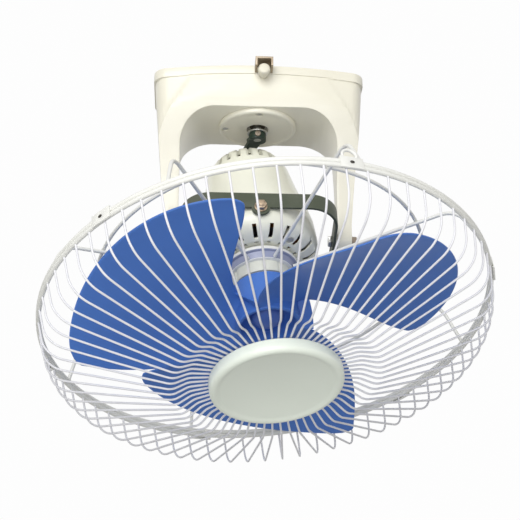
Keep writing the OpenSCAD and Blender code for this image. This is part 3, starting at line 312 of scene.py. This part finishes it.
# --- Inside the canopy ------------------------------------------------------------------
# The terminal block and the run capacitor are pushed into the closed box, and the gear case,
# its screws and the small synchronous motor stand on its floor over the crank.
nylon = finish("natural_nylon", (0.78, 0.76, 0.70), (0.70, 0.68, 0.60), rough=0.5, grain=900, bump=0.1)
grey_plastic = finish("grey_plastic", (0.50, 0.49, 0.45), (0.44, 0.43, 0.39), rough=0.5, grain=700,
                      bump=0.15)
bright_steel = finish("bright_steel", (0.62, 0.62, 0.60), (0.48, 0.48, 0.46), rough=0.24, spread=0.25,
                      cloud_scale=90, cloud_amount=0.4, grain=1500, bump=0.06, metal=1.0, dust=0.15)
brass = finish("turned_brass", (0.50, 0.39, 0.28), (0.32, 0.24, 0.17), rough=0.30, spread=0.25,
               cloud_scale=120, cloud_amount=0.6, grain=1500, bump=0.08, metal=1.0, dust=0.15)
dark_bronze = finish("oil_soaked_bronze", (0.09, 0.075, 0.05), (0.05, 0.045, 0.03), rough=0.4, spread=0.2,
                     cloud_scale=120, cloud_amount=0.6, grain=1500, bump=0.08, metal=0.8, dust=0.15)
for node, material in (("terminal_block", nylon), ("fan_capacitor", grey_plastic),
                       ("gearbox_case", grey_plastic), ("orbit_motor", bright_steel),
                       ("orbit_pinion", nylon), ("crank_gear", nylon), ("crank_bush", dark_bronze),
                       ("crank_shaft", bright_steel)):
    coat_node(node, material)

# --- Drive cover ------------------------------------------------------------------------
# A round moulded cap under the canopy's ceiling with a turned-up rim. Three screws go up
# through it into the gear case, and the crank's shaft comes down through its middle.
dress(softened("gearbox_cover", 0.0004), cream, "canopy", "gearbox_cover", slot="canopy_cream")
dress(softened("gearbox_screws", 0.0003, angle=45, segments=2), bright_steel, "canopy", "gearbox_screws",
      slot="bright_steel")

# --- Crank ------------------------------------------------------------------------------
# A black-painted cast arm clamped on the shaft by a grub screw, under a plain washer. Its
# hollow underside runs round over the tip of the motor's tail pin.
strap_paint = finish("dark_olive_paint", (0.072, 0.085, 0.055), (0.12, 0.13, 0.10), rough=0.42, spread=0.2,
                     cloud_scale=40, cloud_amount=0.5, grain=600, bump=0.12, specular=0.35)
black_paint = finish("black_green_paint", (0.012, 0.030, 0.018), (0.03, 0.045, 0.03), rough=0.40,
                     grain=700, bump=0.2)
oiled_steel = finish("oiled_steel", (0.30, 0.25, 0.20), (0.20, 0.15, 0.11), rough=0.45, spread=0.25,
                     cloud_scale=120, cloud_amount=0.6, grain=1200, bump=0.1, metal=0.9, dust=0.3)
dress(softened("crank_arm", 0.0006), black_paint, "crank", "crank_arm", slot="strap_dark")
dress(softened("crank_screw", 0.0003, angle=45, segments=2), oiled_steel, "crank", "crank_screw",
      slot="bright_steel")
dress(softened("crank_washer", 0.0003, segments=2), bright_steel, "crank", "crank_washer",
      slot="bright_steel")

# --- Gimbal ring ------------------------------------------------------------------------
# A welded band of strip steel, bent to a rounded rectangle and painted dark olive. Bolts
# through the arms carry it left and right; brass screws in it carry the motor front and rear.
dress(softened("gimbal_ring", 0.0005), strap_paint, "gimbal", "gimbal_ring", slot="strap_dark")
dress(softened("head_pivot_screws", 0.0004, angle=40, segments=2), brass, "gimbal", "head_pivot_screws",
      slot="brass")
dress(softened("head_pivot_washers", 0.0003, segments=2), nylon, "gimbal", "head_pivot_washers",
      slot="nylon")
dress(softened("arm_pivot_bolts", 0.0004, angle=40, segments=2), bright_steel, "canopy", "arm_pivot_bolts",
      slot="bright_steel")
dress(softened("arm_pivot_nuts", 0.0004, angle=40, segments=2), oiled_steel, "canopy", "arm_pivot_nuts",
      slot="brass")
coat_node("arm_pivot_washers", nylon)

# --- Motor ------------------------------------------------------------------------------
# Two cream mouldings close round the laminated stator: a tall rear cover with slots in its
# crown and a shallow front one with two rows of slots. Four long screws clamp them.
motor_cream = finish("motor_cream", (0.92, 0.92, 0.79), (0.86, 0.85, 0.72), rough=0.24, grain=1200,
                     bump=0.06, coat=0.2)
ring_lean, head_lean = -16.5, -5.5
tilt_drop = Vector((0, 0, 0.012))
to_head = (Matrix.Translation(pivots) @ Matrix.Rotation(math.radians(ring_lean), 4, "X")
           @ Matrix.Translation(-tilt_drop) @ Matrix.Rotation(math.radians(head_lean), 4, "Y")
           @ Matrix.Translation(tilt_drop))
slot_count, slot_size, slot_place = 24, (0.020, 0.0030, 0.017), (0.0475, 0, 0.0860)
work = bmesh.new()
for k in range(slot_count):
    block = bmesh.ops.create_cube(work, size=1)["verts"]
    bmesh.ops.scale(work, verts=block, vec=slot_size)
    bmesh.ops.translate(work, verts=block, vec=slot_place)
    bmesh.ops.rotate(work, verts=block, matrix=Matrix.Rotation(math.radians(360 / slot_count * k), 3, "Z"))
slot_mesh = bpy.data.meshes.new("crown_slots")
work.to_mesh(slot_mesh)
work.free()
slot_mesh.transform(to_head)
slots = bpy.data.objects.new("crown_slots", slot_mesh)
scene.collection.objects.link(slots)
dress(softened("motor_rear_cover", 0.0006, angle=36, segments=2, cut=slots), motor_cream, "head",
      "motor_rear_cover", slot="motor_cream")
bpy.data.objects.remove(slots)
dress(softened("motor_front_cover", 0.0006, angle=36, segments=2), motor_cream, "head",
      "motor_front_cover", slot="motor_cream")
lamination = finish("lamination_steel", (0.16, 0.16, 0.17), (0.24, 0.22, 0.20), rough=0.5, spread=0.2,
                    cloud_scale=50, cloud_amount=0.5, grain=300, bump=0.3, metal=0.8)
copper = finish("enamelled_copper", (0.52, 0.20, 0.07), (0.30, 0.10, 0.03), rough=0.32, cloud_scale=300,
                cloud_amount=0.8, grain=1400, bump=0.6, depth=0.0004, metal=0.7)
for node, material in (("cover_screws", bright_steel), ("tail_pin", bright_steel),
                       ("stator_core", lamination), ("stator_windings", copper),
                       ("rear_bearing", bright_steel), ("front_bearing", bright_steel),
                       ("rotor_core", lamination), ("motor_shaft", bright_steel)):
    coat_node(node, material)

# --- Rear guard plate and lock nut --------------------------------------------------------
# A pressed white dish with a rolled rim sits on the threaded neck of the motor, and a ribbed cream plastic
# nut screws up against it and holds the whole guard. The dish's wall carries painted shade and a painted
# blue reflection of the blades.
guard_white = finish("white_epoxy", (0.83, 0.83, 0.79), (0.78, 0.78, 0.73), rough=0.28, spread=0.12,
                     cloud_scale=30, grain=700, bump=0.08, coat=0.1, dust=0.05)
# Blue-grey for the dish's wall: painted shade together with a painted reflection of the blue blades.
wall_shade_paint = finish("painted_shade_and_blue_reflection", (0.30, 0.33, 0.47), (0.27, 0.29, 0.42), rough=0.28, spread=0.12,
                  cloud_scale=30, grain=700, bump=0.12, coat=0.1)
wall_r, wall_low, wall_high = 30, -48.5, -41.2
plate = dress(softened("rear_guard_plate", 0.0004), guard_white, "head", "rear_guard_plate",
              slot="guard_white")
# The faces of the wall band, picked by radius and height in the head's frame, take the painted shade and
# reflection.
plate.data.materials.append(wall_shade_paint)
for polygon in plate.data.polygons:
    spot = to_head.inverted() @ polygon.center * 1000
    if math.hypot(spot.x, spot.y) > wall_r and wall_low < spot.z < wall_high:
        polygon.material_index = 1
# The nut's cream is the motor's cream set darker: painted shade for its place between the dish and the hub.
nut_cream_painted_shade = finish("nut_cream_painted_shade", (0.72, 0.73, 0.65), (0.66, 0.67, 0.59), rough=0.35, grain=1200, bump=0.08)
dress(softened("guard_lock_nut", 0.0005, angle=36), nut_cream_painted_shade, "head", "guard_lock_nut", slot="motor_cream")

# --- Guard rings --------------------------------------------------------------------------
# The two halves of the cage meet at a pair of 4.7 mm steel rings, and a 3.6 mm ring ties the
# rear spokes together further in. All are welded and dipped in white epoxy.
def in_head(place):
    """Makes a reshape that moves each point in the head's frame, as a radius and a height in mm."""
    def reshape(work):
        for vertex in work.verts:
            spot = to_head.inverted() @ vertex.co * 1000
            r = math.hypot(spot.x, spot.y)
            new_r, new_z = place(r, spot.z)
            scale = new_r / r if r > 1e-6 else 1.0
            vertex.co = to_head @ (Vector((spot.x * scale, spot.y * scale, new_z)) / 1000)
    return reshape


def turned(work, outline, steps=96):
    """A closed outline of (radius, height) in mm, turned round the axis."""
    rings = [[work.verts.new(Vector((r * math.cos(t), r * math.sin(t), z)) / 1000)
              for t in (2 * math.pi * k / steps for k in range(steps))] for r, z in outline]
    for a, b in zip(rings, rings[1:] + rings[:1]):
        for k in range(steps):
            work.faces.new([a[k], a[(k + 1) % steps], b[(k + 1) % steps], b[k]])


def solid(name, work, matrix):
    """Closes a bmesh into a smooth object in the matrix's frame, with its normals outward."""
    bmesh.ops.recalc_face_normals(work, faces=work.faces)
    mesh = bpy.data.meshes.new(name)
    work.to_mesh(mesh)
    work.free()
    made = bpy.data.objects.new(name, mesh)
    scene.collection.objects.link(made)
    settle(made, 40)
    mesh = made.data
    mesh.transform(matrix)
    return made


def hoops(name, *rings):
    """Round wire hoops on the head's axis, each given by its radius, height and wire diameter in mm."""
    work = bmesh.new()
    for radius, height, wire in rings:
        turned(work, [(radius + wire / 2 * math.cos(a), height + wire / 2 * math.sin(a))
                      for a in (2 * math.pi * k / 14 for k in range(14))], 160)
    return solid(name, work, to_head)


ring_r, front_z, rear_z, ring_wire = 219, -96.8, -92.1, 4.7
joint_z = -94.45


def slimmer(r, z):
    """Draws the clips together round the joint of the rings, and shortens the ears outside it."""
    ear_start, share, ear_share = 222.5, 0.72, 0.5
    ear = max(0.0, r - ear_start)
    return ring_r + (r - ear - ring_r) * share + ear * ear_share, joint_z + (z - joint_z) * share


dress(hoops("front_guard_ring_body", (ring_r, front_z, ring_wire)), guard_white, "head", "front_guard_ring",
      slot="guard_white")
dress(hoops("rear_guard_rings_body", (ring_r, rear_z, ring_wire), (162.5, -44.3, 3.6)), guard_white, "head",
      "rear_guard_rings", slot="guard_white")

# --- Guard wires --------------------------------------------------------------------------
# Each front wire drops from its ring, bends in, runs to a crest and dips to the plate under
# the badge. Eight rear spokes run out level from the dish and turn down to the rear ring.
def wheel_of_wires():
    """Geometry Nodes: one wire path is turned round the axis many times and given its thickness."""
    tree = bpy.data.node_groups.new("wheel_of_wires", "GeometryNodeTree")
    socket(tree, "Path", "NodeSocketGeometry")
    socket(tree, "Wires", "NodeSocketInt", value=68)
    socket(tree, "Wire Diameter", "NodeSocketFloat", value=0.0028)
    socket(tree, "First Angle", "NodeSocketFloat", value=0.0)
    socket(tree, "Sides", "NodeSocketInt", value=10)
    socket(tree, "Finish", "NodeSocketMaterial")
    socket(tree, "Wheel", "NodeSocketGeometry", "OUTPUT")
    n, l = tree.nodes, tree.links
    gin, gout = n.new("NodeGroupInput"), n.new("NodeGroupOutput")
    spots = n.new("GeometryNodePoints")
    l.new(gin.outputs["Wires"], spots.inputs["Count"])
    step = n.new("ShaderNodeMath"); step.operation = "DIVIDE"; step.inputs[0].default_value = 2 * math.pi
    l.new(gin.outputs["Wires"], step.inputs[1])
    number = n.new("GeometryNodeInputIndex")
    turn = n.new("ShaderNodeMath"); turn.operation = "MULTIPLY_ADD"
    l.new(number.outputs[0], turn.inputs[0]); l.new(step.outputs[0], turn.inputs[1])
    l.new(gin.outputs["First Angle"], turn.inputs[2])
    about_axis = n.new("ShaderNodeCombineXYZ"); l.new(turn.outputs[0], about_axis.inputs["Z"])
    round_axis = n.new("FunctionNodeEulerToRotation"); l.new(about_axis.outputs[0], round_axis.inputs[0])
    line = n.new("GeometryNodeMeshToCurve"); l.new(gin.outputs["Path"], line.inputs["Mesh"])
    half = n.new("ShaderNodeMath"); half.operation = "MULTIPLY"; half.inputs[1].default_value = 0.5
    l.new(gin.outputs["Wire Diameter"], half.inputs[0])
    section = n.new("GeometryNodeCurvePrimitiveCircle")
    l.new(gin.outputs["Sides"], section.inputs["Resolution"])
    l.new(half.outputs[0], section.inputs["Radius"])
    wire = n.new("GeometryNodeCurveToMesh"); wire.inputs["Fill Caps"].default_value = True
    l.new(line.outputs["Curve"], wire.inputs["Curve"])
    l.new(section.outputs["Curve"], wire.inputs["Profile Curve"])
    spread = n.new("GeometryNodeInstanceOnPoints")
    l.new(spots.outputs[0], spread.inputs["Points"]); l.new(wire.outputs[0], spread.inputs["Instance"])
    l.new(round_axis.outputs[0], spread.inputs["Rotation"])
    real = n.new("GeometryNodeRealizeInstances"); l.new(spread.outputs[0], real.inputs[0])
    paint = n.new("GeometryNodeSetMaterial")
    l.new(real.outputs[0], paint.inputs["Geometry"]); l.new(gin.outputs["Finish"], paint.inputs["Material"])
    l.new(paint.outputs[0], gout.inputs["Wheel"])
    return tree


wheel_tree = wheel_of_wires()


def set_input(modifier, label, value):
    """Sets a Geometry Nodes input by its socket's identifier."""
    for item in modifier.node_group.interface.items_tree:
        if item.item_type == "SOCKET" and item.in_out == "INPUT" and item.name == label:
            modifier[item.identifier] = value


def rounded_path(corners, radii, steps=8):
    """Points of a line in the plane of radius and height, each inner corner bent to its radius."""
    points = [Vector(corners[0])]
    for before, corner, after, radius in zip(corners, corners[1:], corners[2:], radii):
        p, q, s = Vector(before), Vector(corner), Vector(after)
        u, v = (p - q).normalized(), (s - q).normalized()
        half = u.angle(v) / 2
        centre = q + (u + v).normalized() * radius / math.sin(half)
        a, b = q + u * radius / math.tan(half) - centre, q + v * radius / math.tan(half) - centre
        for i in range(steps + 1):
            points.append(centre + radius * (a * (1 - i / steps) + b * (i / steps)).normalized())
    points.append(Vector(corners[-1]))
    return points


def wire_wheel(name, corners, radii, count, diameter, first, material, sides=10):
    """A wheel of bent wires on the head's axis, as plain mesh. Corners are (radius, height) in mm."""
    line = [Vector((p.x, 0, p.y)) / 1000 for p in rounded_path(corners, radii)]
    host = bpy.data.meshes.new(name)
    host.from_pydata(line, [(i, i + 1) for i in range(len(line) - 1)], [])
    piece = bpy.data.objects.new(name, host)
    scene.collection.objects.link(piece)
    modifier = piece.modifiers.new("wires", "NODES")
    modifier.node_group = wheel_tree
    for label, value in (("Wires", count), ("Wire Diameter", diameter / 1000),
                         ("First Angle", math.radians(first)), ("Sides", sides), ("Finish", material)):
        set_input(modifier, label, value)
    settle(piece, 60)
    piece.data.transform(to_head)
    return piece


# The front wires' white is tinted blue: a painted reflection of the blue blades behind them.
wire_white = finish("wire_white_painted_blue_reflection", (0.80, 0.80, 0.83), (0.74, 0.74, 0.79), rough=0.30, spread=0.12,
                    cloud_scale=30, grain=700, bump=0.08, coat=0.1, dust=0.05)
front_line = [(219, -97.5), (213.5, -136.2), (98, -171.8), (82, -165), (50, -165)]
front_wires = wire_wheel("front_guard_wires_body", front_line, [28, 14, 16], 68, 2.1, -1.2, wire_white)
dress(front_wires, wire_white, "head", "front_guard_wires", slot="guard_white")
spoke_line = [(34.5, -48), (202, -48), (218.3, -90.6)]
rear_spokes = wire_wheel("rear_guard_spokes_body", spoke_line, [22], 8, 3.6, -71, guard_white, 12)
dress(rear_spokes, guard_white, "head", "rear_guard_spokes", slot="guard_white")

# --- Plate under the badge, clips and hanging eye -------------------------------------------
# The inner wire ends are welded to a round plate. Six pressed clips with dark screws hold the
# two rings together, and a bent wire eye beside one clip takes the safety cord.
def smaller_centre(r, z):
    """Sets the plate and its posts 10 % smaller and further forward, with the posts inside the badge."""
    forward, badge_floor = 4.3, -177
    return r * 0.9, max(z - forward, badge_floor)


def loop_to_ring(r, z):
    """Lowers the hanging eye on to the slimmer ring."""
    return r, z - 1.9


dress(softened("front_guard_centre", 0.0003, reshape=in_head(smaller_centre)), guard_white, "head",
      "front_guard_centre", slot="guard_white")
dress(softened("guard_clips", 0.0003, angle=40, segments=2, reshape=in_head(slimmer)), guard_white, "head",
      "guard_clips", slot="guard_white")
dark_screw = finish("blackened_screw", (0.06, 0.055, 0.05), (0.10, 0.09, 0.08), rough=0.4, grain=900,
                    bump=0.2, metal=0.9)
dress(softened("guard_clip_screws", 0.0003, angle=40, segments=2, reshape=in_head(slimmer)), dark_screw,
      "head", "guard_clip_screws", slot="dark_screw")
dress(softened("guard_hanger_loop", 0.0001, angle=60, segments=1, flat=0.01, reshape=in_head(loop_to_ring)),
      guard_white, "head", "guard_hanger_loop", slot="guard_white")

# --- Badge ----------------------------------------------------------------------------------
# A shallow round cap moulded in pale ivory with a thick rolled rim and a flat face, left bare.
# It clips on three posts over the ends of the wires.
def narrower_badge(r, z):
    """Makes the badge 2.7 % smaller across."""
    return r * 0.973, z


badge_ivory = finish("badge_ivory", (0.89, 0.95, 0.85), (0.85, 0.91, 0.81), rough=0.30, grain=1000,
                     bump=0.06, coat=0.25)
dress(softened("guard_badge", 0.0005, angle=36, reshape=in_head(narrower_badge)), badge_ivory, "head",
      "guard_badge", slot="badge_ivory")

# --- Blades and hub ---------------------------------------------------------------------------
# Three scooped paddles and the hub are one moulding in cobalt blue plastic, with a web at the
# hub between blades. A blade is 2.4 mm thick, rounded at its edges and thicker at the hub's rim.
hub_r, inner_r, tip_r, span = 31.5, 29.5, 191.5, 162
hub_low, hub_high, half_sheet = 107.3, -65.5, 1.2


def reach(r, outer):
    """How far a radius lies between the hub's rim and a share of the blade's length, from 0 to 1."""
    return max(0.0, min(1.0, (r - hub_r) / (outer * tip_r - hub_r)))


def blade_form(u, v):
    """Middle surface of a blade in mm, from root to tip and from leading to trailing edge."""
    edge = min(v, 1 - v)
    curl = 0.05 if v < 0.5 else 0.065
    corner = 0.0 if edge > curl else curl * (1 - math.sqrt(max(0.0, 1 - (1 - edge / curl) ** 2)))
    fore = 0.12
    cut_back = 0.03 * (1 - v / fore) ** 2 if v < fore else 0.14 * ((v - fore) / 0.88) ** 3
    r = inner_r + u * (tip_r * (1 - cut_back) * (1 - 0.8 * corner) - inner_r)
    lead_start, lead_sweep, lead_low, lead_dip = 248, 51.4, -106.7, 29
    trail_start, trail_sweep, trail_high, trail_dip, trail_share = 340, 40, -85, 3.1, 0.84
    lead = lead_start + lead_sweep * (1 - (1 - reach(r, 1)) ** 1.38)
    trail = trail_start + trail_sweep * (1 - (1 - reach(r, trail_share)) ** 1.84)
    lead_z = lead_low - lead_dip * math.sin(math.pi / 2 * reach(r, 1) ** 1.5)
    trail_z = trail_high - trail_dip * math.sin(math.pi * reach(r, trail_share))
    scoop = 2.04 - 1.2 * (1 - reach(r, 0.5))
    turn = math.radians(lead + v * (trail - lead))
    return Vector((r * math.cos(turn), r * math.sin(turn), trail_z + (lead_z - trail_z) * (1 - v) ** scoop))


def add_blade(work, turn):
    """One blade as a closed sheet whose thickness runs out in a half round at its three free edges."""
    rim = (0.0, 0.06, 0.3, 0.7, 1.2)
    blade_width, rows_along, rows_across, swell_height, swell_fade = 160, 44, 40, 3.0, 2.2
    across = sorted({*(k / blade_width for k in rim[:4]), *(i / rows_across for i in range(1, rows_across)),
                     *(1 - k / blade_width for k in rim[:4]), 0.0125, 0.9875, 0.965})
    along = sorted({*(i / rows_along for i in range(rows_along)), *(1 - k / span for k in rim)})
    sheets = ([], [])
    for i, u in enumerate(along):
        for side in (0, 1):
            sheets[side].append([])
        for j, v in enumerate(across):
            spot = blade_form(u, v)
            r = math.hypot(spot.x, spot.y)
            width = (blade_form(u, 1.0) - blade_form(u, 0.0)).length
            inset = min(v * width, (1 - v) * width, (1 - u) * span, half_sheet)
            swell = swell_height * math.exp(-max(0.0, r - hub_r) / swell_fade)
            room = min(spot.z + hub_low, hub_high - spot.z)
            half = half_sheet * math.sqrt(1 - (1 - inset / half_sheet) ** 2)
            half += min(swell, max(0.0, room - half_sheet)) * inset / half_sheet
            for side, sign in ((0, 1), (1, -1)):
                if inset == 0 and side:
                    sheets[1][i].append(sheets[0][i][j])
                    continue
                place = Matrix.Rotation(turn, 3, "Z") @ (spot + Vector((0, 0, sign * half)))
                sheets[side][i].append(work.verts.new(place / 1000))
    for side in (0, 1):
        rows = sheets[side]
        for i in range(len(along) - 1):
            for j in range(len(across) - 1):
                ring = [rows[i][j], rows[i + 1][j], rows[i + 1][j + 1], rows[i][j + 1]]
                work.faces.new(ring if side else ring[::-1])
    top, under = sheets[0][0], sheets[1][0]
    for j in range(len(across) - 1):
        ring = [top[j], top[j + 1], under[j + 1], under[j]]
        ring = [v for k, v in enumerate(ring) if v not in ring[:k]]
        if len(ring) > 2:
            work.faces.new(ring)


def add_web(work, turn, steps=12, across=4):
    """The web at the hub from one blade's trailing edge to the leading edge of the next."""
    start, sweep, inner, width, widening, top_z, drop = 341, 29, 30, 13, 2, -86, 22
    sheets = ([], [])
    for side, lift in enumerate((half_sheet, -half_sheet)):
        for i in range(steps + 1):
            v = i / steps
            angle = turn + math.radians(start + sweep * v)
            radii = [inner + (width + widening * v) * j / across for j in range(across + 1)]
            z = lift + top_z - drop * v
            spots = [Vector((r * math.cos(angle), r * math.sin(angle), z)) / 1000 for r in radii]
            sheets[side].append([work.verts.new(spot) for spot in spots])
    for rows in sheets:
        for i in range(steps):
            for j in range(across):
                work.faces.new([rows[i][j], rows[i + 1][j], rows[i + 1][j + 1], rows[i][j + 1]])
    border = [*((i, 0) for i in range(steps)), *((steps, j) for j in range(across)),
              *((i, across) for i in range(steps, 0, -1)), *((0, j) for j in range(across, 0, -1))]
    for (a, b), (c, d) in zip(border, border[1:] + border[:1]):
        work.faces.new([sheets[0][a][b], sheets[0][c][d], sheets[1][c][d], sheets[1][a][b]])


# the hub's outline as (radius, height) in mm, and the round at each of its inner corners
hub_line = [(31.5, -90), (31.5, -108.5), (29.2, -108.5), (27.5, -108.5), (27.5, -94.5), (4.05, -94.5),
            (4.05, -72.5), (11, -72.5), (11, -90.5), (27.5, -90.5), (27.5, -64.5), (31.5, -64.5),
            (31.5, -90)]
hub_round = [1.6, 0.6, 0.6, 1.2, 0.3, 0.3, 0.8, 1.0, 1.0, 0.8, 1.2]
work = bmesh.new()
turned(work, [(p.x, p.y) for p in rounded_path(hub_line, hub_round, 4)][:-1])
for k in range(3):
    add_blade(work, math.radians(120 * k))
    add_web(work, math.radians(120 * k))
blades = solid("fan_blades_body", work, to_head)
blade_blue = finish("cobalt_blue_plastic", (0.078, 0.205, 0.62), (0.070, 0.180, 0.56), rough=0.34,
                    cloud_scale=14, grain=1000, bump=0.05, dust=0.1, specular=0.3)
dress(blades, blade_blue, "rotor", "fan_blades", slot="blade_blue")
coat_node("blade_cross_pin", bright_steel)
spinner_blue = finish("light_blue_plastic", (0.10, 0.19, 0.56), (0.085, 0.16, 0.50), rough=0.30, grain=1000,
                      bump=0.05, dust=0.1, specular=0.4)
dress(softened("blade_spinner", 0.0005), spinner_blue, "rotor", "blade_spinner", slot="spinner_blue")
